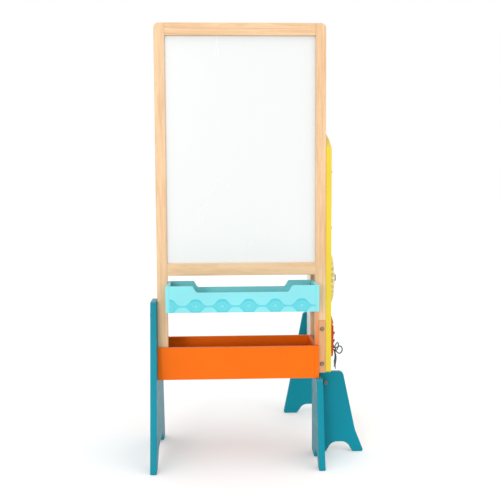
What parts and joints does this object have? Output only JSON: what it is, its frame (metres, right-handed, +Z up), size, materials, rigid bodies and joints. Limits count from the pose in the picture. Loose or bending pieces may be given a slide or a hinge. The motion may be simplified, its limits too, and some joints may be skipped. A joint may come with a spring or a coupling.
{
  "type": "kids easel",
  "caption": "Children's easel: framed drawing board with pen tray and toy bin, and a painted side board with turning gears and a lacing shoe, on teal foot panels.",
  "frame": {"origin": "bottom centre of the whole easel's box, on the floor", "axes": "-Y faces the child at the drawing board, +X is to the board's right where the activity board stands, +Z is up"},
  "size_m": [0.5922, 0.5734, 1.182],
  "materials": {
    "pine": "clear satin lacquer over straight-grained pine",
    "beech_dowel": "plain turned beech",
    "whiteboard": "glossy dry-wipe laminate",
    "chalkboard": "matt chalkboard paint with chalk dust",
    "tray_front_paint": "satin paint with a printed darker wave and dots",
    "aqua_paint": "satin paint on board",
    "orange_paint": "satin paint on board",
    "teal_paint": "satin paint on board",
    "yellow_paint": "satin paint on board",
    "bolt_metal": "antique nickel, satin",
    "screw_metal": "zinc plated",
    "gear_cream": "satin moulded plastic",
    "gear_orange": "satin moulded plastic",
    "gear_teal": "satin moulded plastic",
    "axle_steel": "turned steel",
    "cap_grey": "satin moulded plastic",
    "shoe_red": "satin paint on board",
    "shoe_tan": "satin paint on board",
    "shoe_cream": "satin paint on board",
    "eyelet_metal": "rolled nickel",
    "lace_cord": "braided round lace",
    "lace_tip": "clear shrunk tube over lace"
  },
  "bodies": {
    "easel": {"left_stile": "pine", "right_stile": "pine", "top_rail": "pine", "lower_rail": "pine", "rail_dowels": "beech_dowel", "whiteboard": "whiteboard", "chalkboard": "chalkboard", "tray_front": "tray_front_paint", "tray_back": "aqua_paint", "tray_left_end": "aqua_paint", "tray_right_end": "aqua_paint", "tray_bottom": "aqua_paint", "tray_screws": "screw_metal", "bin_front": "orange_paint", "bin_back": "orange_paint", "bin_bottom": "orange_paint", "bin_right_end": "orange_paint", "bin_screws": "screw_metal", "left_side_panel": "teal_paint", "side_panel_bolts": "bolt_metal", "right_foot_panel": "teal_paint", "outrigger_foot": "teal_paint", "rear_foot": "teal_paint", "foot_bolts": "bolt_metal", "foot_dowels": "beech_dowel", "rear_post": "pine", "corner_batten": "pine", "corner_bolts": "bolt_metal", "activity_board": "yellow_paint", "board_screws": "screw_metal", "gear_axles": "axle_steel", "gear_caps": "cap_grey", "shoe_upper": "shoe_red", "shoe_toe_cap": "shoe_tan", "shoe_tongue": "shoe_cream", "shoe_eyelets": "eyelet_metal", "lace_crossings": "lace_cord", "lace_left": "lace_cord", "lace_right": "lace_cord", "lace_knot": "lace_cord", "lace_tips": "lace_tip"},
    "large_gear": {"large_gear": "gear_cream"},
    "medium_gear": {"medium_gear": "gear_orange"},
    "small_gear": {"small_gear": "gear_teal"}
  },
  "joints": [
    {"name": "large_gear_spin", "type": "hinge", "parent": "easel", "child": "large_gear", "pos_m": [0.20476, -0.07891, 0.492], "axis": [1, 0, 0], "continuous": true},
    {"name": "medium_gear_spin", "type": "hinge", "parent": "easel", "child": "medium_gear", "pos_m": [0.20476, 0.02351, 0.51006], "axis": [1, 0, 0], "continuous": true},
    {"name": "small_gear_spin", "type": "hinge", "parent": "easel", "child": "small_gear", "pos_m": [0.20476, 0.09383, 0.49122], "axis": [1, 0, 0], "continuous": true}
  ],
  "couplings": [
    {"joint": "medium_gear_spin", "follows": "large_gear_spin", "ratio": -1.5},
    {"joint": "small_gear_spin", "follows": "large_gear_spin", "ratio": 2}
  ]
}
